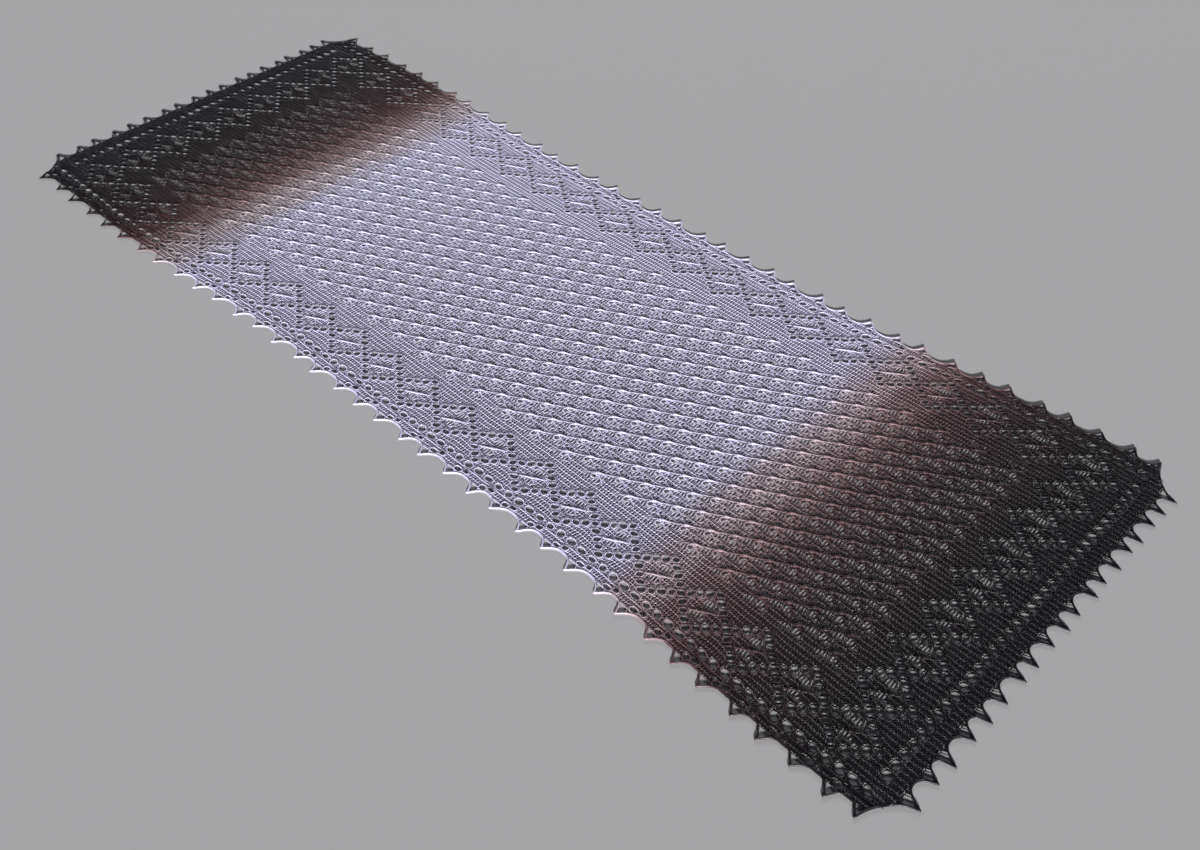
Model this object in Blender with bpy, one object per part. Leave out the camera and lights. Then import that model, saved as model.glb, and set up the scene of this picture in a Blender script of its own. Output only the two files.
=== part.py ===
"""A knitted lace stole, blocked and laid flat, as nine flat panels of cloth.

The stole is worked on a chart of rows and stitches. A chart place (row, stitch) becomes a place in
metres in two steps: the rows open out a little towards the far end, and the stitches spread where
the stole flares towards both of its ends. +X runs from the far end to the near end, +Y is across,
the underside lies at Z = 0 and the origin is the middle of the stole.

The centre panel carries a lattice of stars joined by slanting ribs, raised over a plain underside.
A border frames it, with a row of round eyelets and a chain of diamonds. An edging with pointed
teeth is joined to the border all round.
"""

import math

import bmesh
import bpy

# Chart: how many rows and stitches there are, counted from the middle, and how far apart they lie.
ROW = 0.004875
STITCH = 0.0075
END_ROW = 179
EDGE_STITCH = 40

# Blocking: the narrow waist, the flare of each half of the width, and the wider rows at the far end.
WAIST_X = 0.08
WAIST_REACH = 0.25
FLARE_RUN = 0.50
FLARE = 0.025
ROW_SPREAD = 0.058

# Seams, as rows and stitches of the chart. Pieces lie a gap apart, and at the mitred corners each
# edging is drawn back by a step.
PANEL_ROW = 149
PANEL_STITCH = 26
BORDER_ROW = 175
BORDER_STITCH = 38.5
SEAM_GAP = 0.0003
MITRE_STEP = 0.0002

# The lattice of stars on the centre panel.
STAR_ROWS = 6
STAR_STITCHES = 2
LAST_STAR_ROW = 144
LAST_STAR_STITCH = 24

# The chain of diamonds in the border, and the eyelet that is cut at each diamond's inner point.
DIAMOND_ROWS = 16
DIAMOND_STITCHES = 8
CHAIN_ROW = 160
CHAIN_STITCH = 32
DIAMOND_EYELET = (0.0044, 0.0032)

# The row of round eyelets near the edging.
EYELET_LINE_ROW = 173
EYELET_LINE_STITCH = 37.5
EYELET_EVERY_ROWS = 4
EYELET_EVERY_STITCHES = 2
LAST_EYELET_ROW = 172
LAST_END_EYELET = 34
ROUND_EYELET = (0.0052, 0.0042)
EYELET_CORNERS = 6

# Teeth of the edging: how many, how deep, how the ends' teeth crowd towards +Y, and how unevenly they
# are pinned out.
SIDE_TEETH = 37
END_TEETH = 19
END_TEETH_HALF_SPAN = 0.286
END_TEETH_CROWD = 0.12
SIDE_TOOTH_DEPTH = 0.016
END_TOOTH_DEPTH = 0.020
PINNED_ASIDE = 0.0035
PINNED_SHORT = 0.003

# The scallops between them: how far the corner's bows in, how square they are, and how much they lean.
CORNER_BOW = 0.009
ARCH_SHAPE = 2.6
ARCH_LEAN = 1.15
ARCH_POINTS = (0.10, 0.34, 0.66, 0.90)

# Cloth.
CLOTH = 0.0015
RIB = 0.0007
CURVE_STEP_ROWS = 16

# Colour (linear), for each part of the colour change from end to end.
PALE_LILAC = (0.62, 0.60, 0.70, 1.0)
DARK_BROWN = (0.035, 0.022, 0.022, 1.0)
CLOTH_ROUGHNESS = 0.85

HALF_LENGTH = END_ROW * ROW
HALF_WAIST = EDGE_STITCH * STITCH


def smoothstep(w):
    """0 below w = 0, 1 above w = 1, and a smooth rise between."""
    w = min(max(w, 0.0), 1.0)
    return w * w * (3.0 - 2.0 * w)


def half_width(x):
    """Half of the cloth's width at x, between the roots of the side teeth."""
    past_waist = abs(x - WAIST_X) - WAIST_REACH
    return HALF_WAIST + FLARE * smoothstep(past_waist / FLARE_RUN)


def along(row):
    """Where a row lies along X: the rows are wider at the far end and closer at the near end."""
    even = row * ROW
    return even + ROW_SPREAD * (HALF_LENGTH**2 - even**2)


def place(row, stitch):
    """The point (x, y) of a chart place."""
    x = along(row)
    return x, stitch * STITCH * half_width(x) / HALF_WAIST


def steps(start, end, step):
    """Even values from start to end, no further apart than step."""
    count = max(1, math.ceil(abs(end - start) / step))
    return [start + (end - start) * k / count for k in range(count + 1)]


def shifted(point, dx, dy):
    """A point moved by a step."""
    return point[0] + dx, point[1] + dy


def mirrored(points):
    """An outline carried from one side of the stole to the other, still anticlockwise."""
    return [(x, -y) for x, y in reversed(points)]


def eyelet(row, stitch, half_sizes):
    """A small rounded hole about a chart place."""
    x, y = place(row, stitch)
    half_x, half_y = half_sizes
    turns = [2.0 * math.pi * k / EYELET_CORNERS for k in range(EYELET_CORNERS)]
    return [(x + half_x * math.cos(a), y + half_y * math.sin(a)) for a in turns]


def scallop(start, end, bow):
    """The hollow between two tooth tips: the straight line between them, bowed to its left, steeply
    beside the tips and gently in the middle, and most steeply beside the second tip."""
    run_x, run_y = end[0] - start[0], end[1] - start[1]
    length = math.hypot(run_x, run_y)
    points = []
    for w in ARCH_POINTS:
        inward = bow * (1.0 - abs(2.0 * w**ARCH_LEAN - 1.0) ** ARCH_SHAPE)
        x = start[0] + w * run_x - inward * run_y / length
        y = start[1] + w * run_y + inward * run_x / length
        points.append((x, y))
    return points


def toothed(tips, bow):
    """Tips joined by scallops."""
    points = [tips[0]]
    for start, end in zip(tips, tips[1:]):
        points += scallop(start, end, bow) + [end]
    return points


def pinned(k):
    """How far tooth k is pinned aside and how much shorter it is than the deepest: two waves that
    never fall in step with the teeth."""
    return PINNED_ASIDE * math.sin(2.4 * k), PINNED_SHORT * math.sin(1.7 * k) ** 2


def side_tips():
    """Tips of the teeth on the side at -Y, from the far end to the near end."""
    tips = []
    for k in range(SIDE_TEETH):
        aside, short = pinned(k)
        x = along(END_ROW * (2.0 * (k + 0.5) / SIDE_TEETH - 1.0)) + aside
        tips.append((x, short - half_width(x) - SIDE_TOOTH_DEPTH))
    return tips


def end_tips(end):
    """Tips of the teeth on the near end (1) or the far end (-1), from -Y to +Y."""
    tips = []
    last = END_TEETH - 1
    for k in range(END_TEETH):
        aside, short = pinned(k) if k < last else (0.0, 0.0)
        share = k / last + END_TEETH_CROWD * k * (last - k) / last**2
        y = END_TEETH_HALF_SPAN * (2.0 * share - 1.0) + aside
        tips.append((end * (HALF_LENGTH + END_TOOTH_DEPTH - short), y))
    return tips


def corner(end):
    """The scallop round the corner at -Y, in three parts: its points on the side's edging, its
    middle, where the two edgings meet in a mitre, and its points on the end's edging."""
    side_tip = side_tips()[-1 if end > 0 else 0]
    hollow = scallop(side_tip, end_tips(end)[0], end * CORNER_BOW)
    middle = ((hollow[1][0] + hollow[2][0]) / 2, (hollow[1][1] + hollow[2][1]) / 2)
    return hollow[:2], middle, hollow[2:]


def side_edging():
    """Outline of the edging at -Y: the teeth and corners from far to near, then the seam back."""
    far_hollow, far_middle, _ = corner(-1)
    near_hollow, near_middle, _ = corner(1)
    outer = [shifted(far_middle, MITRE_STEP, 0.0)] + far_hollow[::-1]
    outer += toothed(side_tips(), SIDE_TOOTH_DEPTH)
    outer += near_hollow + [shifted(near_middle, -MITRE_STEP, 0.0)]
    seam = [place(row, -BORDER_STITCH) for row in steps(BORDER_ROW, -BORDER_ROW, CURVE_STEP_ROWS)]
    seam = [shifted(point, 0.0, -SEAM_GAP / 2) for point in seam]
    seam[0] = shifted(seam[0], -MITRE_STEP, 0.0)
    seam[-1] = shifted(seam[-1], MITRE_STEP, 0.0)
    return outer + seam


def end_edging(end):
    """Outline of the edging on the near end (1) or the far end (-1)."""
    _, middle, hollow = corner(end)
    quarter = [shifted(middle, 0.0, MITRE_STEP)] + hollow
    outer = quarter + toothed(end_tips(end), end * END_TOOTH_DEPTH) + mirrored(quarter)
    inner = shifted(place(end * BORDER_ROW, -BORDER_STITCH), end * SEAM_GAP / 2, MITRE_STEP)
    outline = outer + mirrored([inner]) + [inner]
    return outline[::end]


def chart_panel(row_0, row_1, stitch_0, stitch_1):
    """Outline of the cloth between two rows and two stitches, drawn in by half a seam's gap."""
    inset = SEAM_GAP / 2
    rows = steps(row_0, row_1, CURVE_STEP_ROWS)
    lower = [shifted(place(row, stitch_0), 0.0, inset) for row in rows]
    upper = [shifted(place(row, stitch_1), 0.0, -inset) for row in rows]
    for edge in (lower, upper):
        edge[0] = shifted(edge[0], inset, 0.0)
        edge[-1] = shifted(edge[-1], -inset, 0.0)
    return lower + upper[::-1]


def side_border():
    """Outline and holes of the border at -Y. Both ends of it carry the end lines of eyelets on."""
    outline = chart_panel(-BORDER_ROW, BORDER_ROW, -BORDER_STITCH, -PANEL_STITCH)
    line = range(-LAST_EYELET_ROW, LAST_EYELET_ROW + 1, EYELET_EVERY_ROWS)
    holes = [eyelet(row, -EYELET_LINE_STITCH, ROUND_EYELET) for row in line]
    corner_line = range(PANEL_STITCH + EYELET_EVERY_STITCHES, LAST_END_EYELET + 1, EYELET_EVERY_STITCHES)
    for row in (-EYELET_LINE_ROW, EYELET_LINE_ROW):
        holes += [eyelet(row, -stitch, ROUND_EYELET) for stitch in corner_line]
    chain = range(-CHAIN_ROW, CHAIN_ROW + 1, DIAMOND_ROWS)
    inner_point = -CHAIN_STITCH + DIAMOND_STITCHES / 2
    return outline, holes + [eyelet(row, inner_point, DIAMOND_EYELET) for row in chain]


def end_border(end):
    """Outline and holes of the border on the near end (1) or the far end (-1)."""
    row_0, row_1 = sorted((end * PANEL_ROW, end * BORDER_ROW))
    outline = chart_panel(row_0, row_1, -PANEL_STITCH, PANEL_STITCH)
    last = PANEL_STITCH - EYELET_EVERY_STITCHES
    line = range(-last, last + 1, EYELET_EVERY_STITCHES)
    holes = [eyelet(end * EYELET_LINE_ROW, stitch, ROUND_EYELET) for stitch in line]
    inner_end = CHAIN_STITCH - DIAMOND_STITCHES
    chain = range(-inner_end, inner_end + 1, DIAMOND_STITCHES)
    inner_point = end * (CHAIN_ROW - DIAMOND_ROWS / 2)
    return outline, holes + [eyelet(inner_point, stitch, DIAMOND_EYELET) for stitch in chain]


def material(name, colour):
    """Matt knitted yarn of one colour."""
    made = bpy.data.materials.new(name)
    made.use_nodes = True
    shader = made.node_tree.nodes["Principled BSDF"]
    shader.inputs["Base Color"].default_value = colour
    shader.inputs["Roughness"].default_value = CLOTH_ROUGHNESS
    shader.inputs["Metallic"].default_value = 0.0
    return made


def add_object(name, data, colour, collection):
    """A named object with a material of its own, in the stole's collection."""
    data.materials.append(material(name + "_yarn", colour))
    made = bpy.data.objects.new(name, data)
    collection.objects.link(made)
    return made


def add_flat(name, outline, holes, colour, collection):
    """A flat piece of cloth cut to an outline, with holes through it, resting on Z = 0."""
    data = bpy.data.curves.new(name, "CURVE")
    data.dimensions = "2D"
    data.fill_mode = "BOTH"
    data.extrude = CLOTH / 2
    for loop in [outline] + holes:
        spline = data.splines.new("POLY")
        spline.points.add(len(loop) - 1)
        spline.use_cyclic_u = True
        for point, (x, y) in zip(spline.points, loop):
            point.co = (x, y, 0.0, 1.0)
    made = add_object(name, data, colour, collection)
    made.location.z = CLOTH / 2
    return made


def is_star(row, stitch):
    """Stars stand on every second crossing of the lattice's lines, like the black squares of a
    chequer board."""
    inside = abs(row) <= LAST_STAR_ROW and abs(stitch) <= LAST_STAR_STITCH
    return inside and (row // STAR_ROWS + stitch // STAR_STITCHES) % 2 == 0


def add_centre_panel(name, colour, collection):
    """The centre: a grid with a line of points through each column and each row of stars, raised at
    the stars. Each cell is split from star to star, so that the split is a rib."""
    rows = [-PANEL_ROW, *range(-LAST_STAR_ROW, LAST_STAR_ROW + 1, STAR_ROWS), PANEL_ROW]
    stitches = [-PANEL_STITCH, *range(-LAST_STAR_STITCH, LAST_STAR_STITCH + 1, STAR_STITCHES), PANEL_STITCH]
    mesh = bmesh.new()
    bmesh.ops.create_grid(mesh, x_segments=len(rows) - 1, y_segments=len(stitches) - 1, size=1.0)
    underside = mesh.faces[:]
    raised = bmesh.ops.extrude_face_region(mesh, geom=underside)["geom"]
    top = {item for item in raised if isinstance(item, bmesh.types.BMVert)}
    stars = set()
    for vert in mesh.verts:
        row = rows[round((vert.co.x + 1.0) / 2.0 * (len(rows) - 1))]
        stitch = stitches[round((vert.co.y + 1.0) / 2.0 * (len(stitches) - 1))]
        x, y = place(row, stitch)
        x -= math.copysign(SEAM_GAP / 2, row) if abs(row) == PANEL_ROW else 0.0
        y -= math.copysign(SEAM_GAP / 2, stitch) if abs(stitch) == PANEL_STITCH else 0.0
        z = CLOTH if vert in top else 0.0
        if vert in top and is_star(row, stitch):
            z += RIB
            stars.add(vert)
        vert.co = (x, y, z)
    for face in [item for item in raised if isinstance(item, bmesh.types.BMFace)]:
        ends = [vert for vert in face.verts if vert in stars]
        if len(ends) == 2:
            bmesh.utils.face_split(face, ends[0], ends[1])
    bmesh.ops.dissolve_faces(mesh, faces=underside)
    bmesh.ops.recalc_face_normals(mesh, faces=mesh.faces[:])
    data = bpy.data.meshes.new(name)
    mesh.to_mesh(data)
    mesh.free()
    return add_object(name, data, colour, collection)


def main():
    for old in list(bpy.data.objects):
        bpy.data.objects.remove(old, do_unlink=True)
    stole = bpy.data.collections.new("lace_stole")
    bpy.context.scene.collection.children.link(stole)

    add_centre_panel("centre_panel", PALE_LILAC, stole)

    outline, holes = side_border()
    add_flat("border_front", outline, holes, PALE_LILAC, stole)
    add_flat("border_back", mirrored(outline), [mirrored(hole) for hole in holes], PALE_LILAC, stole)
    add_flat("border_near", *end_border(1), DARK_BROWN, stole)
    add_flat("border_far", *end_border(-1), DARK_BROWN, stole)

    add_flat("edging_front", side_edging(), [], PALE_LILAC, stole)
    add_flat("edging_back", mirrored(side_edging()), [], PALE_LILAC, stole)
    add_flat("edging_near", end_edging(1), [], DARK_BROWN, stole)
    add_flat("edging_far", end_edging(-1), [], DARK_BROWN, stole)


main()
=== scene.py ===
"""Looks of a knitted lace stole that lies flat: every row is knitted yarn.

The stole is drawn on the same chart of rows and stitches as its solids. A row's yarn runs across the
stole in loops: up a leg, over the loop's head, down the other leg, and along to the next loop. Fields
on the chart draw the loops apart into eyelets and ladders, and the chart's places then become places
in metres. Thicker yarn lies over the net as the lattice's ribs, the spine beside the edging, and the
cord round the teeth.
"""

import math

import bpy
import numpy as np
from mathutils import Matrix, Vector


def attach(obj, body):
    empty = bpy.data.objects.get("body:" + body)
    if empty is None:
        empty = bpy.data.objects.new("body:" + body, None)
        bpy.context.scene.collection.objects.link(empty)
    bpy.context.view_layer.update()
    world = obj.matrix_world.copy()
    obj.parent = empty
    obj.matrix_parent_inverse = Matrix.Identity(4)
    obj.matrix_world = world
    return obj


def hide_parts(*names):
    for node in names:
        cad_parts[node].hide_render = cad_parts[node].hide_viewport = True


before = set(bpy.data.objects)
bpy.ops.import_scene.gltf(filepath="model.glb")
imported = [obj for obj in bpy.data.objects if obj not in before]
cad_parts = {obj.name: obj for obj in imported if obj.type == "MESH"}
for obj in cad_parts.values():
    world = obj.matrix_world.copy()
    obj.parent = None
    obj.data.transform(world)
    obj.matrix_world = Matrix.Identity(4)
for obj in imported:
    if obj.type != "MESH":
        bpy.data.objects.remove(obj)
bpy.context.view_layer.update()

# Chart and blocking, as in the solids: how far apart rows and stitches lie, and where the edges are.
ROW = 0.004875
STITCH = 0.0075
END_ROW = 179
EDGE_STITCH = 40
WAIST_X = 0.08
WAIST_REACH = 0.25
FLARE_RUN = 0.50
FLARE = 0.025
ROW_SPREAD = 0.058
PANEL_ROW = 149
PANEL_STITCH = 26
BORDER_ROW = 175
BORDER_STITCH = 38.5
HALF_LENGTH = END_ROW * ROW
HALF_WAIST = EDGE_STITCH * STITCH

# The lattice of stars, the chain of diamonds and the row of round eyelets.
STAR_ROWS = 6
STAR_STITCHES = 2
LAST_STAR_ROW = 144
LAST_STAR_STITCH = 24
DIAMOND_ROWS = 16
DIAMOND_STITCHES = 8
CHAIN_ROW = 160
CHAIN_STITCH = 32
EYELET_LINE_ROW = 173
EYELET_LINE_STITCH = 37.5
SPINE_STITCH = 38.4
EYELET_EVERY_ROWS = 4
EYELET_EVERY_STITCHES = 2
LAST_EYELET_ROW = 172
LAST_END_EYELET = 34

# How far the knots lie to the +Y side of their places on the chart, in stitches.
KNOT_ASIDE = 0.38
DIAMOND_KNOT_ASIDE = -0.1

# Half sizes of the openings, in metres, to the middle of the yarn round them.
DIAMOND_EYELET = (0.0062, 0.0051)
LINE_EYELET = (0.0074, 0.0054)
STAR_EYELET = (0.0045, 0.0042)

# How uneven the openings are, as shares of their sizes, and where the yarn of an eyelet's rim lies before
# it is pushed, and how wide it is, in the eyelet's half sizes.
UNEVEN_EYELETS = 0.17
UNEVEN_LADDERS = 0.14
RIM_AT = 0.6
RIM_WIDTH = 0.45

# Ladders beside a star's knot: rows to each side of it, the window in half stitches, the half height.
STAR_LADDER = (
    (1, -2, 0.0048),
    (2, -2, 0.0043),
    (3, -3, 0.0036),
    (0, 2, 0.0048),
    (1, 2, 0.0042),
    (2, 3, 0.0036),
)
DIAMOND_LADDER = (
    (0, 3, 0.0056),
    (1, 3, 0.0050),
    (2, 4, 0.0046),
    (3, 4, 0.0036),
    (0, -2, 0.0054),
    (1, -2, 0.0048),
    (2, -3, 0.0044),
)

# Eyelets beside each side tooth: rows past its tip, stitch, half sizes.
TOOTH_EYELETS = (
    (2, 39.5, (0.0066, 0.0041)),
    (4, 39.0, (0.0060, 0.0035)),
)

# How far the strands beside the row of round eyelets lean, in rows for each stitch, and over how many.
LINE_LEAN = 0.85
LINE_LEAN_REACH = 1.1

# Teeth of the edging, as in the solids.
SIDE_TEETH = 37
END_TEETH = 19
END_TEETH_HALF_SPAN = 0.286
END_TEETH_CROWD = 0.12
SIDE_TOOTH_DEPTH = 0.016
END_TOOTH_DEPTH = 0.020
PINNED_ASIDE = 0.0035
PINNED_SHORT = 0.003
CORNER_BOW = 0.009
ARCH_SHAPE = 2.6
ARCH_LEAN = 1.15
ARCH_COUNT = 14

# Strands inside a tooth. Ties run from the cloth's edge, at a share of the tooth's width from its tip,
# to a point of the cord, counted from the tip. A loop runs inside the steep flank: from the cloth's
# edge at the share it names, past a place given as shares of the tooth's width and depth, to the cord.
TOOTH_TIES = ((-0.27, -6), (0.10, 4), (0.24, 6))
TOOTH_LOOP_FROM = -0.17
TOOTH_LOOP_PAST = (0.005, 0.20)
TOOTH_LOOP_TO = 3

# Rays of a diamond's star: rows and stitches to the end of each, and half their thickness.
DIAMOND_RAYS = ((5.8, 1.9, 0.00052), (2.4, -0.9, 0.00046))

# Yarn of the net: half its thickness, and how much thicker or thinner it is, as shares of that, at an
# eyelet's rim, in a ladder, along the lattice's rising and falling lines, and in the cells between them.
YARN = 0.00070
RIM_SHARE = 0.20
BAR_SHARE = 0.30
RISING_SHARE = 0.56
FALLING_SHARE = 0.46
CELL_SHARE = 0.26

# How wide the thick lines are, and how far the rising ones lie to the +Y side of their ribs, where 1 is
# the way from a line to the middle of a cell.
RISING_WIDTH = 0.26
FALLING_WIDTH = 0.22
RISING_ASIDE = 0.10

# Heights of the yarn's middle over the floor, in metres: in the net, and how much more at a rim, in the
# line along the edging, in the teeth's strands, and in the spine.
NET_MIDDLE = 0.00120
RIM_LIFT = 0.0007
EDGE_MIDDLE = 0.0013
STRAND_MIDDLE = 0.0016
SPINE_MIDDLE = 0.0017

# Ribs and rays of doubled yarn, in metres: half a strand's thickness in strong and in faint ribs, how
# far strands stand apart, the height at a knot, and how much lower a rib's middle and a ray's end lie.
# A ray reaches RAY_REACH of the way to where a next knot would be. Strands are thicker at a knot by
# KNOT_SHARE, and thinner at a ray's end by RAY_TAPER.
RIB = 0.00058
FAINT_RIB = 0.00076
RIB_SPREAD = 0.00062
RIB_TOP = 0.0019
RIB_DIP = 0.0004
RAY_DIP = 0.0010
RAY_REACH = 0.55
RAY_TAPER = 0.4
KNOT_SHARE = 0.75

# Knots: their half thickness and the height of their middle, in metres, how many rows they reach to each
# side, how flat they are pressed, and the size of a diamond's knot beside a star's.
KNOT = 0.0026
KNOT_MIDDLE = 0.0019
KNOT_ROWS = 0.90
KNOT_FLAT = 0.65
DIAMOND_KNOT = 0.8

# Half thicknesses of the spine's two strands, the cord and the teeth's strands, in metres.
SPINE = 0.00068
CORD = 0.00120
STRAND = 0.00080

# A loop's points, each as (row, stitch), from one side to the other. The first of each pair is the
# middle of a leg, a head or the run to the next loop. It is kept only where it is needed: more than
# NEEDED, in metres, away from the straight line between its neighbours.
HEAD = 0.53
LOOP = np.array(
    (
        (0.0, -0.25),
        (HEAD, -0.30),
        (HEAD, 0.0),
        (HEAD, 0.30),
        (0.0, 0.25),
        (-HEAD, 0.20),
        (-HEAD, 0.50),
        (-HEAD, 0.80),
    )
)
LOOP_PHASE = np.arange(-2, 6) / 8
NEEDED = 0.00078


# ---------------------------------------------------------------- the chart


def smoothstep(w):
    """0 below w = 0, 1 above w = 1, and 3 w^2 - 2 w^3 between."""
    w = np.clip(w, 0.0, 1.0)
    return w * w * (3.0 - 2.0 * w)


def half_width(x):
    """Half of the cloth's width at x: the waist's, plus the flare times a smooth rise beyond it."""
    return HALF_WAIST + FLARE * smoothstep((np.abs(x - WAIST_X) - WAIST_REACH) / FLARE_RUN)


def along(row):
    """x of a row: even rows, plus a spread that is largest in the middle and nothing at the ends."""
    even = row * ROW
    return even + ROW_SPREAD * (HALF_LENGTH**2 - even**2)


def place(row, stitch):
    """x and y of chart places: the row's x, and the stitch's share of the width there."""
    x = along(row)
    return x, stitch * STITCH * half_width(x) / HALF_WAIST


def uneven(row, stitch, start):
    """From -1 to 1, and unlike from one cell to the next: the sine of a steep slope over the chart."""
    return np.sin(12.9 * row + 78.2 * stitch + start)


class Chart:
    """A knitting chart with one cell for each row and half stitch, centred on row 0 and stitch 0."""

    MARGIN = 6

    def __init__(self):
        rows = END_ROW + self.MARGIN
        windows = 2 * (EDGE_STITCH + self.MARGIN)
        shape = (2 * rows + 1, 2 * windows + 1)
        self.middle = (rows, windows)
        self.wide = np.zeros(shape)
        self.high = np.zeros(shape)
        self.ladder = np.zeros(shape)

    def cells(self, rows, stitches):
        """Indices of chart places, held inside the chart."""
        row = np.rint(rows).astype(int) + self.middle[0]
        window = np.rint(2 * np.asarray(stitches)).astype(int) + self.middle[1]
        return np.clip(row, 0, 2 * self.middle[0]), np.clip(window, 0, 2 * self.middle[1])

    def eyelets(self, rows, stitches, half_sizes):
        """Marks round openings, no two of quite the same size."""
        cells = self.cells(rows, stitches)
        wide, high = half_sizes
        self.wide[cells] = wide * (1.0 + UNEVEN_EYELETS * uneven(rows, stitches, 0.0))
        self.high[cells] = high * (1.0 + UNEVEN_EYELETS * uneven(rows, stitches, 2.0))

    def ladders(self, rows, stitches, table):
        """Marks the ladders round knots."""
        for off, window, half_height in table:
            for side in (-off, off):
                cells = self.cells(rows + side, stitches + window / 2)
                more = 1.0 + UNEVEN_LADDERS * uneven(rows + side, stitches, 4.0)
                self.ladder[cells] = half_height * more


def star_places():
    """Rows and stitches of the lattice's stars: every second crossing of its lines."""
    rows = np.arange(-LAST_STAR_ROW, LAST_STAR_ROW + 1, STAR_ROWS)
    stitches = np.arange(-LAST_STAR_STITCH, LAST_STAR_STITCH + 1, STAR_STITCHES)
    row, stitch = np.meshgrid(rows, stitches, indexing="ij")
    is_star = (row // STAR_ROWS + stitch // STAR_STITCHES) % 2 == 0
    return row[is_star], stitch[is_star]


def diamond_places():
    """Rows and stitches of the diamonds' middles: both sides of the border, then both ends."""
    side_rows = np.arange(-CHAIN_ROW, CHAIN_ROW + 1, DIAMOND_ROWS)
    last = CHAIN_STITCH - DIAMOND_STITCHES
    end_stitches = np.arange(-last, last + 1, DIAMOND_STITCHES)
    both = np.array((-1, 1))
    rows = np.concatenate([side_rows, side_rows, np.repeat(both * CHAIN_ROW, end_stitches.size)])
    stitches = np.concatenate([np.repeat(both * CHAIN_STITCH, side_rows.size), end_stitches, end_stitches])
    return rows, stitches


def pinned(k):
    """How far teeth k are pinned aside and how much shorter they are than the deepest, in metres: two
    waves that never fall in step with the teeth."""
    return PINNED_ASIDE * np.sin(2.4 * k), PINNED_SHORT * np.sin(1.7 * k) ** 2


def tip_rows():
    """The rows of the side teeth's tips, before they are pinned aside."""
    return END_ROW * (2.0 * (np.arange(SIDE_TEETH) + 0.5) / SIDE_TEETH - 1.0)


def drawn_chart():
    """The stole's chart, with all its openings marked."""
    chart = Chart()
    rows, stitches = star_places()
    chart.ladders(rows, stitches, STAR_LADDER)
    chart.eyelets(rows, stitches - 0.5, STAR_EYELET)
    rows, stitches = diamond_places()
    chart.ladders(rows, stitches, DIAMOND_LADDER)
    for step in range(-4, 5):
        for side in (-1, 1):
            chart.eyelets(rows + 2 * step, stitches + side * (4 - abs(step)), DIAMOND_EYELET)
    line = np.arange(-LAST_EYELET_ROW, LAST_EYELET_ROW + 1, EYELET_EVERY_ROWS)
    end_line = np.arange(-LAST_END_EYELET, LAST_END_EYELET + 1, EYELET_EVERY_STITCHES)
    for side in (-1, 1):
        chart.eyelets(line, np.full(line.size, side * EYELET_LINE_STITCH), LINE_EYELET)
        chart.eyelets(np.full(end_line.size, side * EYELET_LINE_ROW), end_line, LINE_EYELET)
        for past, stitch, half_sizes in TOOTH_EYELETS:
            chart.eyelets(tip_rows() + past, np.full(SIDE_TEETH, side * stitch), half_sizes)
    return chart


CHART = drawn_chart()


# ---------------------------------------------------------------- drawing the loops apart


def cube_push(far):
    """How much further than far something lies, of an opening of radius 1: (far^3 + 1)^(1/3) - far."""
    return np.cbrt(far**3 + 1.0) - far


def ladder_shift(row, stitch):
    """Across the stole, in stitches: each ladder cell pushes the yarn away from its middle by the cube
    rule with its half height, and its hold falls evenly to nothing one row away. The second array is 1
    where a ladder's bars cross its middle and falls away from it as a bell."""
    shift = np.zeros(row.shape)
    bar = np.zeros(row.shape)
    base = np.floor(row)
    for step in (0, 1):
        cell_row = base + step
        hold = 1.0 - np.abs(row - cell_row)
        for window in range(-4, 5):
            cell_stitch = (np.rint(2 * stitch) + window) / 2
            half_height = CHART.ladder[CHART.cells(cell_row, cell_stitch)]
            off = (stitch - cell_stitch) * STITCH
            there = half_height > 0
            size = np.where(there, half_height, 1.0)
            push = size * cube_push(np.abs(off) / size) * np.sign(off)
            shift += np.where(there, hold * push, 0.0) / STITCH
            bar = np.maximum(bar, np.where(there, np.exp(-((off / size) ** 2)), 0.0))
    return shift, bar


def eyelet_shift(row, stitch):
    """In rows and stitches: each eyelet pushes the yarn away from its middle by the cube rule, measured
    in its own half sizes. The third array is 1 where the rim's yarn lay before it was pushed, and falls
    away as a bell."""
    row_shift = np.zeros(row.shape)
    stitch_shift = np.zeros(row.shape)
    rim = np.zeros(row.shape)
    for row_step in range(-3, 4):
        cell_row = np.rint(row) + row_step
        for window in range(-3, 4):
            cell_stitch = (np.rint(2 * stitch) + window) / 2
            cells = CHART.cells(cell_row, cell_stitch)
            there = CHART.wide[cells] > 0
            wide = np.where(there, CHART.wide[cells], 1.0)
            high = np.where(there, CHART.high[cells], 1.0)
            off_row = row - cell_row
            off_stitch = stitch - cell_stitch
            far = np.hypot(off_row * ROW / wide, off_stitch * STITCH / high) + 1e-6
            push = np.where(there, cube_push(far) / far, 0.0)
            row_shift += off_row * push
            stitch_shift += off_stitch * push
            rim_bell = np.exp(-(((far - RIM_AT) / RIM_WIDTH) ** 2))
            rim = np.maximum(rim, np.where(there, rim_bell, 0.0))
    return row_shift, stitch_shift, rim


def hand(row, stitch):
    """The small unevenness of hand knitting, in rows and stitches: sums of slow waves."""
    x = row * ROW
    y = stitch * STITCH
    row_shift = 0.10 * np.sin(61 * y + 9 * x + 1) + 0.08 * np.sin(147 * y - 31 * x + 2)
    stitch_shift = 0.05 * np.sin(83 * x + 1.3) * np.cos(37 * y) + 0.03 * np.sin(211 * x + 59 * y)
    return row_shift, stitch_shift


def line_lean(stitch):
    """In rows: the cloth leans where it passes the rows of round eyelets on both sides. The lean is
    straight at the line and fades as a bell."""
    off = np.abs(stitch) - EYELET_LINE_STITCH
    return LINE_LEAN * off * np.exp(-((off / LINE_LEAN_REACH) ** 2))


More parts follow.
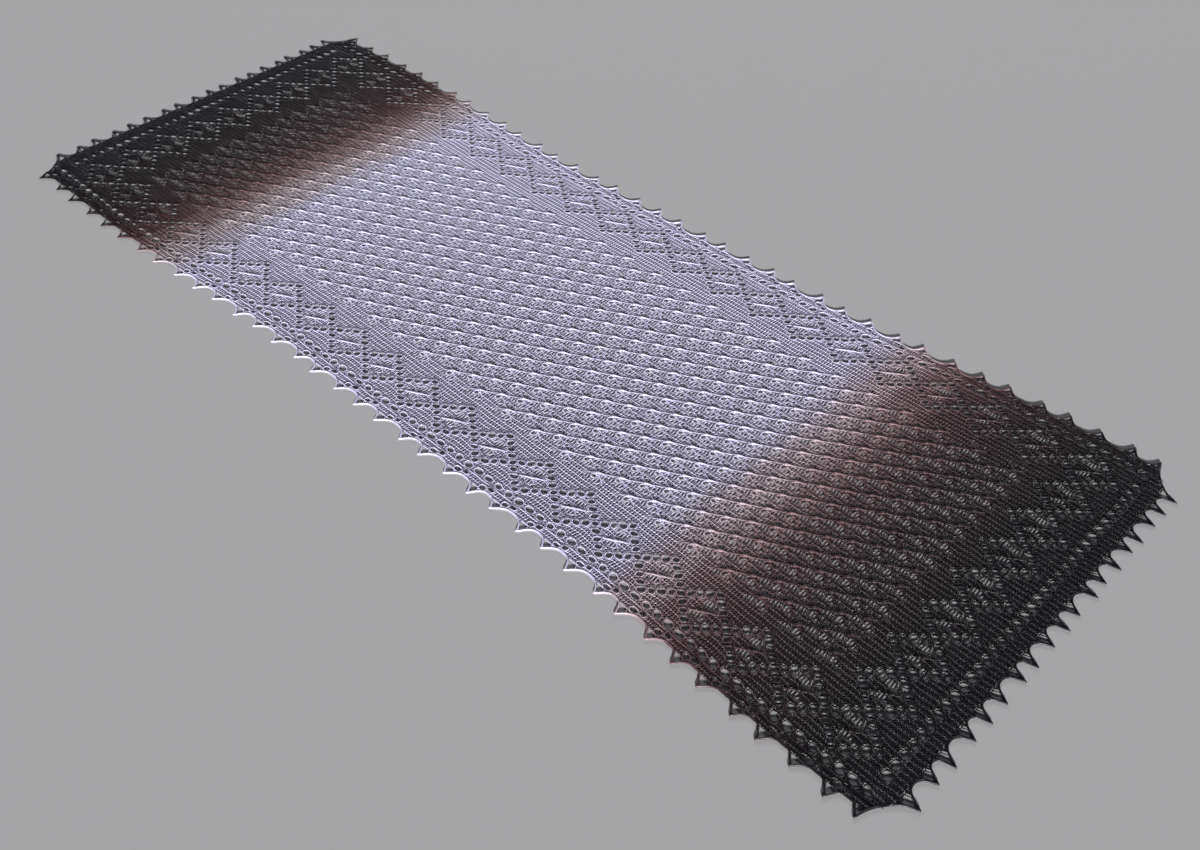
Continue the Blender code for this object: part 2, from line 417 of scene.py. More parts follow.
def gathered(row, stitch):
    """How much thicker the stitches are along the lattice's lines, where each is knitted into the last:
    the higher of a bell across the rising lines, a little aside of their ribs, and a bell across the
    falling lines, less the share by which the cells between are thinner. Only the lattice has it."""
    rise = (stitch - KNOT_ASIDE) / STAR_STITCHES - row / STAR_ROWS
    fall = (stitch - KNOT_ASIDE) / STAR_STITCHES + row / STAR_ROWS
    off_rising = np.abs((rise - RISING_ASIDE + 1.0) % 2.0 - 1.0)
    off_falling = np.abs((fall + 1.0) % 2.0 - 1.0)
    inside = (np.abs(row) < LAST_STAR_ROW + 3) & (np.abs(stitch) < LAST_STAR_STITCH + 1)
    rising = RISING_SHARE * np.exp(-((off_rising / RISING_WIDTH) ** 2))
    falling = FALLING_SHARE * np.exp(-((off_falling / FALLING_WIDTH) ** 2))
    return inside * (np.maximum(rising, falling) - CELL_SHARE)


def drawn(row, stitch):
    """Chart places after the openings are drawn apart, how much thicker the yarn is there (more along
    the lattice's lines and at an eyelet's rim, less in a ladder), and how near the rim it is."""
    thicker = gathered(row, stitch)
    shift, bar = ladder_shift(row, stitch)
    stitch = stitch + shift
    row_shift, stitch_shift, rim = eyelet_shift(row, stitch)
    hand_row, hand_stitch = hand(row, stitch)
    row = row + row_shift + hand_row + line_lean(stitch)
    thicker = np.maximum(thicker, RIM_SHARE * rim) - BAR_SHARE * bar
    return row, stitch + stitch_shift + hand_stitch, thicker, rim


# ---------------------------------------------------------------- meshes


def tube(points, strand, radius, sides):
    """Yarn along strands. points are in order, and strand numbers tell one strand's from the next one's.
    Round each point stands a ring, its first corner on top, in the plane that halves the bend there.
    Sideways it is widened by one over the half bend's cosine, so that the yarn keeps its thickness."""
    step = np.diff(points, axis=0)
    step /= np.linalg.norm(step, axis=1)[:, None] + 1e-12
    joined = strand[1:] == strand[:-1]
    before = np.vstack([step[:1], step])
    after = np.vstack([step, step[-1:]])
    first = np.concatenate([[True], ~joined])
    last = np.concatenate([~joined, [True]])
    before[first] = after[first]
    after[last] = before[last]
    bend = np.sum(before * after, axis=1)
    widen = 1.0 / np.sqrt(np.maximum((1.0 + bend) / 2.0, 0.45))
    heading = before + after
    heading /= np.linalg.norm(heading, axis=1)[:, None] + 1e-12
    side = np.cross((0.0, 0.0, 1.0), heading)
    side /= np.linalg.norm(side, axis=1)[:, None] + 1e-12
    above = np.cross(heading, side)
    turn = 2.0 * np.pi * (np.arange(sides) / sides) + np.pi / 2
    radius = np.broadcast_to(radius, strand.shape)
    sideways = (radius * widen)[:, None, None] * np.cos(turn)[None, :, None] * side[:, None, :]
    upwards = radius[:, None, None] * np.sin(turn)[None, :, None] * above[:, None, :]
    rings = points[:, None, :] + sideways + upwards
    start = np.flatnonzero(joined) * sides
    k = np.arange(sides)
    k_next = (k + 1) % sides
    walls = np.stack(
        [
            start[:, None] + k,
            start[:, None] + k_next,
            start[:, None] + sides + k_next,
            start[:, None] + sides + k,
        ],
        axis=-1,
    ).reshape(-1, 4)
    fan = np.arange(1, sides - 1)
    near = np.flatnonzero(first)[:, None] * sides
    far = np.flatnonzero(last)[:, None] * sides
    near_caps = np.stack([near + 0 * fan, near + fan + 1, near + fan], axis=-1).reshape(-1, 3)
    far_caps = np.stack([far + 0 * fan, far + fan, far + fan + 1], axis=-1).reshape(-1, 3)
    return rings.reshape(-1, 3), walls, np.vstack([near_caps, far_caps])


def joined(parts):
    """Several (points, quads, triangles) as one."""
    points, quads, triangles, count = [], [], [], 0
    for part_points, part_quads, part_triangles in parts:
        points.append(part_points)
        quads.append(part_quads + count)
        triangles.append(part_triangles + count)
        count += len(part_points)
    return np.vstack(points), np.vstack(quads), np.vstack(triangles)


def add_piece(name, shape, material, nodes):
    """A piece from (points, quads, triangles): smooth faces, a flat map for its finish, its material,
    the body it rides on, and the solids that it stands for."""
    points, quads, triangles = shape
    mesh = bpy.data.meshes.new(name)
    corners = np.concatenate([quads.ravel(), triangles.ravel()]).astype(np.int32)
    starts = np.concatenate(
        [np.arange(len(quads)) * 4, quads.size + np.arange(len(triangles)) * 3]
    ).astype(np.int32)
    mesh.vertices.add(len(points))
    mesh.vertices.foreach_set("co", points.astype(np.float32).ravel())
    mesh.loops.add(corners.size)
    mesh.loops.foreach_set("vertex_index", corners)
    mesh.polygons.add(starts.size)
    mesh.polygons.foreach_set("loop_start", starts)
    mesh.polygons.foreach_set("use_smooth", np.ones(starts.size, bool))
    mesh.update(calc_edges=True)
    low = points[:, :2].min(axis=0)
    size = np.ptp(points[:, :2], axis=0).max()
    flat_map = mesh.uv_layers.new(name="OFBake")
    flat_map.data.foreach_set("uv", ((points[corners, :2] - low) / size).astype(np.float32).ravel())
    mesh.materials.append(material)
    piece = bpy.data.objects.new(name, mesh)
    bpy.context.scene.collection.objects.link(piece)
    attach(piece, "root")
    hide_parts(*nodes)
    return piece


# ---------------------------------------------------------------- yarn in rows


def knitted(rows, first, last):
    """The yarn of plain rows as chart places and strand numbers. Each row is one strand that
    repeats LOOP for every stitch, from the phase first to the phase last. first and last may be one
    number, or one for each row."""
    rows = np.asarray(rows, float)
    first = np.broadcast_to(first, rows.shape)[:, None]
    last = np.broadcast_to(last, rows.shape)[:, None]
    stitches = np.arange(math.floor(first.min()) - 1, math.ceil(last.max()) + 2)
    phase = (stitches[:, None] + LOOP_PHASE).ravel()[None, :]
    row = rows[:, None] + np.tile(LOOP[:, 0], stitches.size)
    stitch = np.broadcast_to((stitches[:, None] + LOOP[:, 1]).ravel(), row.shape)
    middle = np.broadcast_to(np.tile(np.arange(8) % 2 == 0, stitches.size), row.shape)
    strand = np.broadcast_to(np.arange(rows.size)[:, None], row.shape)
    inside = (phase >= first - 1e-6) & (phase <= last + 1e-6)
    return row[inside], stitch[inside], strand[inside], middle[inside]


def needed(points, strand, middle):
    """Which points stay: all but the middles that lie near the straight line between their neighbours."""
    off = np.zeros(len(points))
    off[1:-1] = np.linalg.norm(points[1:-1] - (points[2:] + points[:-2]) / 2, axis=1)
    end = np.ones(len(points), bool)
    end[1:-1] = (strand[1:-1] != strand[2:]) | (strand[1:-1] != strand[:-2])
    return ~middle | end | (off > NEEDED)


def net(rows, first, last):
    """Knitted cloth as a mesh: the rows' chart places, drawn open, set out in metres, as tubes. The
    rims of eyelets stand up a little."""
    row, stitch, strand, middle = knitted(rows, first, last)
    row, stitch, thicker, rim = drawn(row, stitch)
    x, y = place(row, stitch)
    z = NET_MIDDLE + RIM_LIFT * rim
    points = np.stack([x, y, z], axis=-1)
    keep = needed(points, strand, middle)
    return tube(points[keep], strand[keep], (YARN * (1.0 + thicker))[keep], 3)


# ---------------------------------------------------------------- ribs, spines, cords


def twisted(x, y, height, spread, phase, radius, count):
    """Strands twisted together round lines, one line for each row of x and y, and count strands to each.
    At phase t the first one lies spread cos t to the line's left and half of spread sin t above it, and
    the others stand evenly round it."""
    run_x = (x[:, -1] - x[:, 0])[:, None]
    run_y = (y[:, -1] - y[:, 0])[:, None]
    length = np.hypot(run_x, run_y)
    shapes = []
    for turned in 2.0 * math.pi * np.arange(count) / count:
        aside = spread * np.cos(phase + turned)
        above = 0.5 * spread * np.sin(phase + turned)
        parts = (x - aside * run_y / length, y + aside * run_x / length, height + above)
        points = np.stack(np.broadcast_arrays(*parts), axis=-1)
        strand = np.broadcast_to(np.arange(len(x))[:, None], points.shape[:2])
        thick = np.broadcast_to(radius, points.shape[:2])
        shapes.append(tube(points.reshape(-1, 3), strand.ravel(), thick.ravel(), 3))
    return joined(shapes)


def rib_line(row_0, stitch_0, row_run, stitch_run, w):
    """x and y along ribs that leave knots, for w from 0 at the knot to 1."""
    row = row_0[:, None] + w * row_run
    stitch = stitch_0[:, None] + w * stitch_run
    hand_row, hand_stitch = hand(row, stitch)
    return place(row + hand_row, stitch + hand_stitch)


def ribs(row_0, stitch_0, row_run, stitch_run, thick, count):
    """Ribs of count twisted strands from knot to knot. Along each, w runs from 0 to 1. It is thickest,
    widest and highest at its knots, which fade along it as (1 - 2 w)^2. A single strand runs straight."""
    w = np.linspace(0.0, 1.0, 5 + count)
    knot = (1.0 - 2.0 * w) ** 2
    x, y = rib_line(row_0, stitch_0, row_run, stitch_run, w)
    more = 1.0 + KNOT_SHARE * knot
    height = RIB_TOP - RIB_DIP * (1.0 - knot)
    spread = RIB_SPREAD * more * (count > 1)
    return twisted(x, y, height, spread, 3 * math.pi * w, thick * more, count)


def rays(row_0, stitch_0, row_run, stitch_run, thick):
    """Three-strand ribs that leave a knot, which fades as (1 - w)^3, and sink into the net as w^2."""
    w = np.linspace(0.0, 1.0, 6)
    x, y = rib_line(row_0, stitch_0, row_run, stitch_run, w)
    more = 1.0 + KNOT_SHARE * (1.0 - w) ** 3
    height = RIB_TOP - RAY_DIP * w**2
    taper = 1.0 - RAY_TAPER * w
    return twisted(x, y, height, RIB_SPREAD * more, 2 * math.pi * w, thick * more * taper, 3)


def knots(rows, stitches, size):
    """The gathered stitches at knots: short flattened bundles along the rising ribs. Along each, w runs
    from -1 to 1, and its half thickness follows (1 - w^2)^(1/2), so its ends are round."""
    w = np.linspace(-1.0, 1.0, 5)
    row_run = size * KNOT_ROWS
    x, y = rib_line(rows + 0.0, stitches, row_run, row_run * STAR_STITCHES / STAR_ROWS, w)
    points = np.stack([x, y, np.full(x.shape, KNOT_MIDDLE / KNOT_FLAT)], axis=-1)
    strand = np.broadcast_to(np.arange(len(x))[:, None], x.shape)
    radius = np.broadcast_to(size * KNOT * np.sqrt(1.03 - w**2), x.shape)
    points, quads, triangles = tube(points.reshape(-1, 3), strand.ravel(), radius.ravel(), 4)
    return points * (1.0, 1.0, KNOT_FLAT), quads, triangles


def lattice_ribs():
    """The strong two-strand ribs of the lattice, which rise from knot to knot towards +X and +Y, and the
    faint single ones across them. Where there is no next knot, a short ray leaves the last one."""
    rows, stitches = star_places()
    middle = stitches + KNOT_ASIDE
    shapes = [knots(rows, middle, 1.0)]
    for lean, thick, count in ((1, RIB, 2), (-1, FAINT_RIB, 1)):
        for way in (1, -1):
            row_run, stitch_run = way * STAR_ROWS, way * lean * STAR_STITCHES
            next_row, next_stitch = np.abs(rows + row_run), np.abs(stitches + stitch_run)
            goes_on = (next_row <= LAST_STAR_ROW) & (next_stitch <= LAST_STAR_STITCH)
            if way > 0:
                shapes.append(ribs(rows[goes_on], middle[goes_on], row_run, stitch_run, thick, count))
            last = ~goes_on
            ray_run = (RAY_REACH * row_run, RAY_REACH * stitch_run)
            shapes.append(rays(rows[last], middle[last], *ray_run, thick))
    return joined(shapes)


def diamond_stars(rows, stitches):
    """The rays of each diamond's star, which meet in its knot: long ones that rise to both sides and
    short ones across them."""
    middle = stitches + DIAMOND_KNOT_ASIDE
    shapes = [knots(rows, middle, DIAMOND_KNOT)]
    for row_run, stitch_run, thick in DIAMOND_RAYS:
        for way in (1, -1):
            shapes.append(rays(rows, middle, way * row_run, way * stitch_run, thick))
    return joined(shapes)


def edge_line(row, stitch):
    """One strand of yarn through chart places, along the cloth's edge."""
    x, y = place(row, stitch)
    points = np.stack([x, y, np.full(x.shape, EDGE_MIDDLE)], axis=-1)
    return tube(points, np.zeros(len(points), int), YARN, 3)


def spine(row, stitch):
    """The thick twisted yarn just outside a row of round eyelets, which turns half round in each row."""
    hand_row, hand_stitch = hand(row, stitch)
    x, y = place(row + hand_row, stitch + hand_stitch)
    phase = math.pi * np.arange(row.size) / 2
    return twisted(x[None], y[None], SPINE_MIDDLE, SPINE, phase, SPINE, 2)


# ---------------------------------------------------------------- edging


def scallop(start, end, bow):
    """Points from one tooth's tip to the next: the straight line between them, bowed to its left by
    bow (1 - |2 w^lean - 1|^shape), with the points closest together at the tips."""
    w = (1.0 - np.cos(np.pi * np.arange(ARCH_COUNT + 1) / ARCH_COUNT)) / 2.0
    run_x, run_y = end[0] - start[0], end[1] - start[1]
    length = math.hypot(run_x, run_y)
    inward = bow * (1.0 - np.abs(2.0 * w**ARCH_LEAN - 1.0) ** ARCH_SHAPE)
    x = start[0] + w * run_x - inward * run_y / length
    y = start[1] + w * run_y + inward * run_x / length
    return np.stack([x, y], axis=-1)


def side_tips():
    """Tips of the teeth on the side at -Y, from the far end to the near end."""
    aside, short = pinned(np.arange(SIDE_TEETH))
    x = along(tip_rows()) + aside
    return np.stack([x, short - half_width(x) - SIDE_TOOTH_DEPTH], axis=-1)


def end_tips(end):
    """Tips of the teeth on the near end (1) or the far end (-1), from -Y to +Y."""
    k = np.arange(END_TEETH)
    last = END_TEETH - 1
    aside, short = np.where(k < last, pinned(k), 0.0)
    share = k / last + END_TEETH_CROWD * k * (last - k) / last**2
    y = END_TEETH_HALF_SPAN * (2.0 * share - 1.0) + aside
    return np.stack([end * (HALF_LENGTH + END_TOOTH_DEPTH - short), y], axis=-1)


def corner(end):
    """The scallop round the corner at -Y, from the side's last tip to the end's first."""
    side_tip = side_tips()[-1 if end > 0 else 0]
    return scallop(side_tip, end_tips(end)[0], end * CORNER_BOW)


def scallops(tips, bow):
    """The scallops between neighbouring tips."""
    return [scallop(start, end, bow) for start, end in zip(tips[:-1], tips[1:])]


def side_scallops():
    """All scallops of the edging at -Y, from the far corner's to the near corner's."""
    return [corner(-1)[::-1]] + scallops(side_tips(), SIDE_TOOTH_DEPTH) + [corner(1)]


def end_scallops(end):
    """All scallops of an end's edging, from the corner's at -Y to the one at +Y."""
    hollow = corner(end)
    return [hollow] + scallops(end_tips(end), end * END_TOOTH_DEPTH) + [(hollow * (1, -1))[::-1]]


def cord_on(arches):
    """The thick cord along scallops, from the middle of the first one to the middle of the last."""
    half = ARCH_COUNT // 2
    whole = [arch[:-1] for arch in arches[1:-1]]
    outline = np.vstack([arches[0][half:-1], *whole, arches[-1][: half + 1]])
    points = np.column_stack([outline, np.full(len(outline), CORD)])
    return tube(points, np.zeros(len(points), int), CORD, 6)


def tooth_strands(arches, edge_beside, mirror):
    """The strands inside the teeth between scallops: straight ties, and a loop that is a parabola
    through three places. edge_beside gives the cloth's edge beside places, and mirror is -1 to carry
    them to the other side."""
    before = np.stack(arches[:-1])[:, ::-1]
    after = np.stack(arches[1:])
    tip = after[:, 0]
    span = (after[:, -1] - before[:, -1]) / 2.0
    lines = []
    for share, count in TOOTH_TIES:
        own = slice(1, None) if count < 0 else slice(0, -1)
        start = edge_beside(tip + share * span)[own]
        end = (before if count < 0 else after)[own, abs(count)]
        lines.append(np.stack([start, (start + end) / 2.0, end], axis=1))
    root = edge_beside(tip)
    start = edge_beside(tip + TOOTH_LOOP_FROM * span)[:, None]
    past = (tip + TOOTH_LOOP_PAST[0] * span + TOOTH_LOOP_PAST[1] * (root - tip))[:, None]
    end = after[:, TOOTH_LOOP_TO][:, None]
    w = np.linspace(0.0, 1.0, 7)[:, None]
    lines.append((1 - w) * (1 - 2 * w) * start + 4 * w * (1 - w) * past + w * (2 * w - 1) * end)
    points = np.vstack([line.reshape(-1, 2) for line in lines]) * (1, mirror)
    counts = np.concatenate([np.full(line.shape[0], line.shape[1]) for line in lines])
    strand = np.repeat(np.arange(counts.size), counts)
    return tube(np.column_stack([points, np.full(len(points), STRAND_MIDDLE)]), strand, STRAND, 3)


def mitre(rows):
    """The stitch of the seam between side and end edging: the side border's, and past that border's last
    row evenly out to the corner."""
    past = np.maximum(np.abs(rows) - BORDER_ROW, 0)
    return BORDER_STITCH + (EDGE_STITCH - BORDER_STITCH) * past / (END_ROW - BORDER_ROW)


def cloth_reach(rows):
    """How many stitches out the cloth reaches at each row: to its edge, and in the corners only to the
    inside of the cord."""
    rows = np.asarray(rows, float)
    x = along(rows)
    reach = np.full(rows.shape, float(EDGE_STITCH))
    for end in (-1, 1):
        hollow = corner(end)
        y = np.interp(end * x, end * hollow[:, 0], -hollow[:, 1]) - CORD
        stitch = y * HALF_WAIST / (STITCH * half_width(x))
        reach = np.where(end * x > end * hollow[0, 0], np.minimum(reach, stitch), reach)
    return reach


def side_edging(side):
    """The edging on a long side: the net outside the spine, a line along its edge, and the strands in
    its teeth. side is -1 for the one at -Y."""
    rows = np.arange(1 - END_ROW, END_ROW)
    inner = mitre(rows)
    reach = cloth_reach(rows)
    whole = reach - inner > 0.4
    rows, inner, reach = rows[whole], inner[whole], reach[whole]
    cloth = net(rows, -reach, -inner) if side < 0 else net(rows, inner, reach)
    edge_row = np.arange(-END_ROW, END_ROW + 0.5, 0.5)
    edge_row = edge_row[cloth_reach(edge_row) >= EDGE_STITCH]
    edge = edge_line(edge_row, np.full(edge_row.shape, side * EDGE_STITCH))
    arches = side_scallops()

    def edge_beside(places):
        return np.stack([places[:, 0], -half_width(places[:, 0])], axis=-1)

    strands = tooth_strands(arches, edge_beside, -side)
    cord = cord_on([arch * (1, -side) for arch in arches])
    return joined([cloth, edge, strands]), cord


def end_edging(end):
    """The edging on an end: a few rows of net, a line along their edge, and the strands in its teeth."""
    rows = end * np.arange(BORDER_ROW + 1, END_ROW)
    reach = np.minimum(mitre(rows), cloth_reach(rows))
    cloth = net(rows, -reach, reach)
    edge_row = end * (END_ROW - 0.4)
    edge_reach = cloth_reach([edge_row])[0]
    across = np.linspace(-edge_reach, edge_reach, 4 * EDGE_STITCH + 1)
    edge = edge_line(np.full(across.shape, edge_row), across)
    arches = end_scallops(end)

    def edge_beside(places):
        return np.stack([np.full(len(places), along(edge_row)), places[:, 1]], axis=-1)

    strands = tooth_strands(arches, edge_beside, 1)
    return joined([cloth, edge, strands]), cord_on(arches)


# ---------------------------------------------------------------- finishes


# The yarn's colour along the stole, as x in metres and linear colour, how far to each side the change
# reaches, and how far its streaks shift it, in metres.
COLOUR_CHANGE = (
    (-0.88, (0.008, 0.007, 0.010)),
    (-0.72, (0.014, 0.008, 0.010)),
    (-0.63, (0.034, 0.015, 0.015)),
    (-0.57, (0.090, 0.042, 0.042)),
    (-0.53, (0.260, 0.170, 0.175)),
    (-0.49, (0.520, 0.440, 0.470)),
    (-0.42, (0.725, 0.710, 0.920)),
    (0.43, (0.725, 0.710, 0.920)),
    (0.50, (0.540, 0.430, 0.470)),
    (0.55, (0.260, 0.165, 0.175)),
    (0.60, (0.110, 0.060, 0.064)),
    (0.68, (0.044, 0.025, 0.028)),
    (0.78, (0.017, 0.012, 0.015)),
    (0.88, (0.009, 0.008, 0.011)),
)
COLOUR_REACH = 0.90
RAGGED = 0.05


def yarn_material(name, gloss, sheen, fibre_and_painted_tones):
    """Wool and silk yarn that changes colour from end to end: near black, brown, rose, pale lilac in the
    middle, and back. Noise in streaks along the rows makes the change ragged, and fine noise makes the
    fibres, from the darker to the lighter of the two given tone levels. How high these levels lie also
    paints one copy of the yarn lighter than another as a whole: painted brightness, not a lighter dye."""
    material = bpy.data.materials.new(name)
    material.use_nodes = True
    nodes, links = material.node_tree.nodes, material.node_tree.links
    shader = nodes["Principled BSDF"]
    where = nodes.new("ShaderNodeTexCoord")
    parts = nodes.new("ShaderNodeSeparateXYZ")
    links.new(where.outputs["Object"], parts.inputs[0])

    streaks_map = nodes.new("ShaderNodeMapping")
    streaks_map.inputs["Scale"].default_value = (90.0, 6.0, 0.0)
    streaks = nodes.new("ShaderNodeTexNoise")
    streaks.inputs["Scale"].default_value = 1.0
    streaks.inputs["Detail"].default_value = 2.0
    links.new(where.outputs["Object"], streaks_map.inputs["Vector"])
    links.new(streaks_map.outputs[0], streaks.inputs["Vector"])

    ragged = nodes.new("ShaderNodeMath")
    ragged.operation = "MULTIPLY_ADD"
    ragged.inputs[1].default_value = RAGGED
    links.new(streaks.outputs["Fac"], ragged.inputs[0])
    links.new(parts.outputs["X"], ragged.inputs[2])

    share = nodes.new("ShaderNodeMapRange")
    share.inputs["From Min"].default_value = RAGGED / 2 - COLOUR_REACH
    share.inputs["From Max"].default_value = RAGGED / 2 + COLOUR_REACH
    links.new(ragged.outputs[0], share.inputs["Value"])

    ramp = nodes.new("ShaderNodeValToRGB")
    ramp.color_ramp.interpolation = "EASE"
    elements = ramp.color_ramp.elements
    elements.remove(elements[1])
    elements[0].position = 0.0
    elements[0].color = (*COLOUR_CHANGE[0][1], 1.0)
    for x, colour in COLOUR_CHANGE:
        elements.new((x + COLOUR_REACH) / (2 * COLOUR_REACH)).color = (*colour, 1.0)
    links.new(share.outputs[0], ramp.inputs["Fac"])

    fibre = nodes.new("ShaderNodeTexNoise")
    fibre.inputs["Scale"].default_value = 900.0
    fibre.inputs["Detail"].default_value = 2.0
    links.new(where.outputs["Object"], fibre.inputs["Vector"])
    # Fine noise gives the fibres a random tone between the two given levels. A copy whose levels lie
    # higher is painted lighter as a whole, as painted brightness.
    tone = nodes.new("ShaderNodeMapRange")
    tone.inputs["To Min"].default_value = fibre_and_painted_tones[0]
    tone.inputs["To Max"].default_value = fibre_and_painted_tones[1]
    links.new(fibre.outputs["Fac"], tone.inputs["Value"])
    shaded = nodes.new("ShaderNodeMix")
    shaded.data_type = "RGBA"
    shaded.blend_type = "MULTIPLY"
    shaded.inputs["Factor"].default_value = 1.0
    links.new(ramp.outputs["Color"], shaded.inputs["A"])
    links.new(tone.outputs[0], shaded.inputs["B"])
    links.new(shaded.outputs["Result"], shader.inputs["Base Color"])

    bump = nodes.new("ShaderNodeBump")
    bump.inputs["Strength"].default_value = 0.35
    bump.inputs["Distance"].default_value = 0.0004
    links.new(fibre.outputs["Fac"], bump.inputs["Height"])
    links.new(bump.outputs["Normal"], shader.inputs["Normal"])

    shader.inputs["Roughness"].default_value = gloss
    shader.inputs["Sheen Weight"].default_value = sheen
    shader.inputs["Sheen Roughness"].default_value = 0.4
    shader.inputs["Sheen Tint"].default_value = (0.80, 0.82, 0.95, 1.0)
    return material


def floor_material():
    """Plain pale matt floor."""
    material = bpy.data.materials.new("pale_floor")
    material.use_nodes = True
    shader = material.node_tree.nodes["Principled BSDF"]
    shader.inputs["Base Color"].default_value = (0.52, 0.52, 0.52, 1.0)
    shader.inputs["Roughness"].default_value = 0.95
    return material


# ---------------------------------------------------------------- the stole


def add_centre(yarn, doubled):
    """The centre panel in three lengths, and its ribs."""
    lengths = np.array_split(np.arange(1 - PANEL_ROW, PANEL_ROW), 3)
    for name, rows in zip(("far", "middle", "near"), lengths):
        cloth = net(rows, -PANEL_STITCH, PANEL_STITCH)
        piece = add_piece("centre_" + name, cloth, yarn, ["centre_panel"])
    add_piece("centre_ribs", lattice_ribs(), doubled, ["centre_panel"])


def add_side_borders(yarn, doubled):
    """The border on each long side, with its diamonds' stars and its spine."""
    rows = np.arange(-BORDER_ROW, BORDER_ROW + 1)
    spine_rows = np.arange(-BORDER_ROW, BORDER_ROW + 0.5, 0.5)
    diamond_rows, diamond_stitches = diamond_places()
    for name, side in (("front", -1), ("back", 1)):
        reach = sorted((side * PANEL_STITCH, side * BORDER_STITCH))
        node = "border_" + name
        own = diamond_stitches == side * CHAIN_STITCH
        piece = add_piece(node + "_net", net(rows, *reach), yarn, [node])
        line = spine(spine_rows, np.full(spine_rows.shape, side * SPINE_STITCH))
        extra = joined([diamond_stars(diamond_rows[own], diamond_stitches[own]), line])
        add_piece(node + "_stars", extra, doubled, [node])


def add_end_borders(yarn, doubled):
    """The border on each end, with its diamonds' stars and its spine."""
    diamond_rows, diamond_stitches = diamond_places()
    inner = np.abs(diamond_stitches) < CHAIN_STITCH
    across = np.linspace(-PANEL_STITCH, PANEL_STITCH, 8 * PANEL_STITCH + 1)
    for name, end in (("far", -1), ("near", 1)):
        rows = end * np.arange(PANEL_ROW, BORDER_ROW + 1)
        node = "border_" + name
        own = inner & (diamond_rows == end * CHAIN_ROW)
        cloth = net(rows, -PANEL_STITCH, PANEL_STITCH)
        piece = add_piece(node + "_net", cloth, yarn, [node])
        line = spine(np.full(across.shape, end * (BORDER_ROW - 0.25)), across)
        extra = joined([diamond_stars(diamond_rows[own], diamond_stitches[own]), line])
        add_piece(node + "_stars", extra, doubled, [node])


def add_edgings(yarn, doubled):
    """The toothed edging all round, with its cord."""
    side_band = (EDGE_STITCH - BORDER_STITCH) * STITCH
    end_band = (END_ROW - BORDER_ROW - 0.5) * ROW
    edgings = (
        ("front", "yarn_edging", side_edging(-1), side_band, SIDE_TOOTH_DEPTH, 2 * HALF_LENGTH),
        ("back", "yarn_edging", side_edging(1), side_band, SIDE_TOOTH_DEPTH, 2 * HALF_LENGTH),
        ("far", "yarn_dark", end_edging(-1), end_band, END_TOOTH_DEPTH, 2 * HALF_WAIST),
        ("near", "yarn_dark", end_edging(1), end_band, END_TOOTH_DEPTH, 2 * HALF_WAIST),
    )
    for name, slot, (cloth, cord), band, tooth, length in edgings:
        node = "edging_" + name
        net_piece = add_piece(node + "_net", cloth, yarn, [node])
        cord_piece = add_piece(node + "_cord", cord, doubled, [node])


def add_floor():
    """A plain pale floor, wide enough for every view."""
    mesh = bpy.data.meshes.new("floor")
    reach = 60.0
    corners = [(-reach, -reach, 0), (reach, -reach, 0), (reach, reach, 0), (-reach, reach, 0)]
    mesh.from_pydata(corners, [], [(0, 1, 2, 3)])
    mesh.materials.append(floor_material())
    floor = bpy.data.objects.new("floor", mesh)
    bpy.context.scene.collection.objects.link(floor)


def add_light(name, place_at, angle, strength, colour):
    """A far lamp that shines on the stole from the side of place_at and lights the whole floor alike. It
    is soft, because it is angle wide, in radians."""
    data = bpy.data.lights.new(name, "SUN")
    data.angle = angle
    data.energy = strength
    data.color = colour
    lamp = bpy.data.objects.new(name, data)
    lamp.location = place_at
    lamp.rotation_euler = (-Vector(place_at)).to_track_quat("-Z", "Y").to_euler()
    bpy.context.scene.collection.objects.link(lamp)


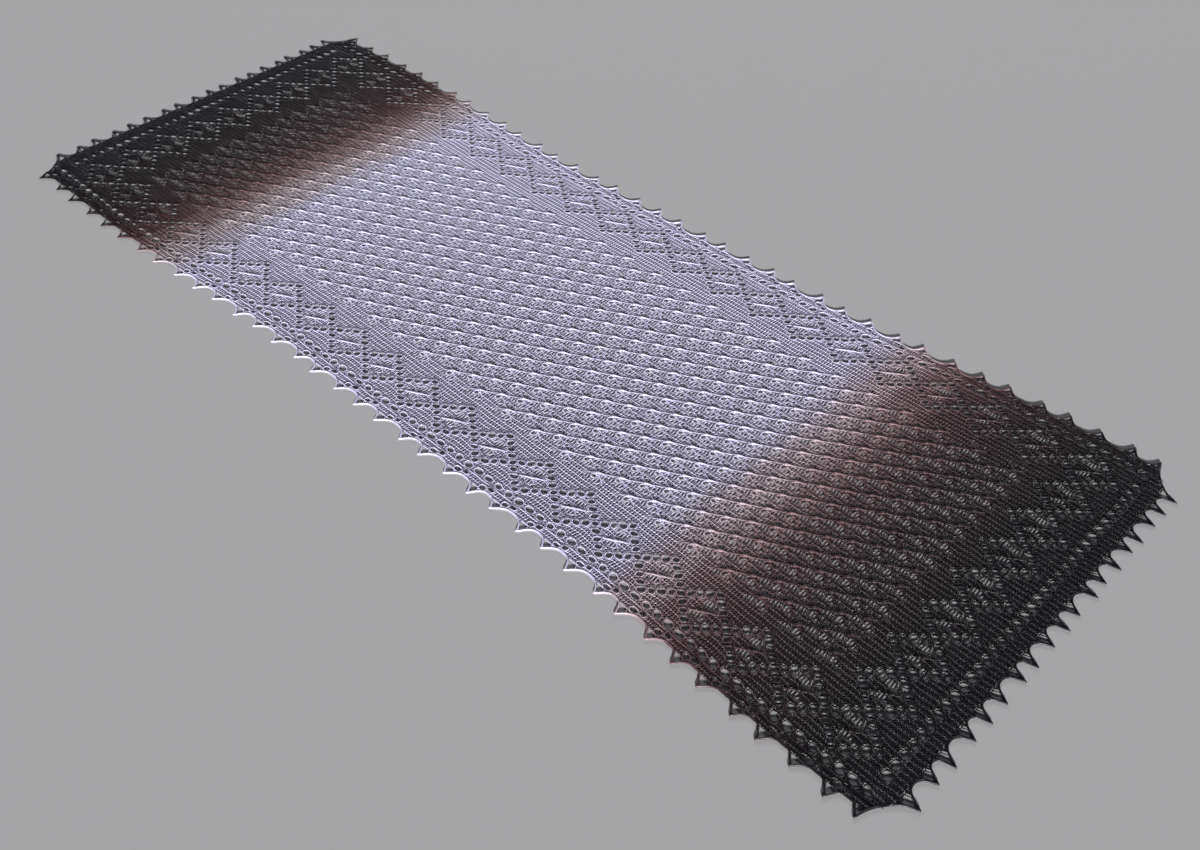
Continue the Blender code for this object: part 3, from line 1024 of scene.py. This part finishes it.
def add_sky():
    """A sky that is pale at the horizon and dims with height, so that it lights the yarn from the sides
    but leaves the floor inside the eyelets in shadow."""
    world = bpy.data.worlds.new("studio")
    world.use_nodes = True
    nodes, links = world.node_tree.nodes, world.node_tree.links
    where = nodes.new("ShaderNodeTexCoord")
    parts = nodes.new("ShaderNodeSeparateXYZ")
    links.new(where.outputs["Generated"], parts.inputs[0])
    fade = nodes.new("ShaderNodeValToRGB")
    fade.color_ramp.elements[0].position = 0.02
    fade.color_ramp.elements[0].color = (0.36, 0.37, 0.40, 1.0)
    fade.color_ramp.elements[1].position = 0.25
    fade.color_ramp.elements[1].color = (0.028, 0.030, 0.035, 1.0)
    links.new(parts.outputs["Z"], fade.inputs["Fac"])
    links.new(fade.outputs["Color"], nodes["Background"].inputs["Color"])
    bpy.context.scene.world = world


def add_studio():
    """Soft studio light: a low lamp in front, a weaker low one behind, and the sky."""
    add_light("key", (6.5, -6.2, 2.40), 0.086, 6.8, (1.0, 0.98, 1.0))
    add_light("back", (-5.0, 6.2, 3.0), 0.25, 1.0, (0.97, 0.98, 1.0))
    add_sky()


def add_camera():
    """The camera: where it stands, which way it looks, and which way the right of its picture lies."""
    data = bpy.data.cameras.new("camera")
    data.lens = 35.68
    data.sensor_width = 36.0
    data.sensor_fit = "HORIZONTAL"
    camera = bpy.data.objects.new("camera", data)
    forward = Vector((-0.4993, 0.5026, -0.7058)).normalized()
    right = Vector((0.7180, 0.6960, -0.0122))
    right = (right - right.dot(forward) * forward).normalized()
    top = right.cross(forward)
    turn = Matrix((right, top, -forward)).transposed()
    camera.matrix_world = Matrix.Translation((1.0714, -0.9165, 1.1319)) @ turn.to_4x4()
    bpy.context.scene.collection.objects.link(camera)
    bpy.context.scene.camera = camera


def main():
    """Builds the stole, its floor and its light."""
    # Both yarns are one dye. The doubled copy's higher tones paint the ribs, stars, spine and cords
    # lighter than the net: painted brightness.
    yarn = yarn_material("lace_yarn", 0.38, 0.02, (0.76, 1.14))
    doubled = yarn_material("doubled_yarn_painted_lighter", 0.36, 0.03, (0.84, 1.20))
    add_centre(yarn, doubled)
    add_side_borders(yarn, doubled)
    add_end_borders(yarn, doubled)
    add_edgings(yarn, doubled)
    add_floor()
    add_studio()
    add_camera()
    bpy.context.scene.view_settings.view_transform = "Standard"


main()

bpy.context.view_layer.update()
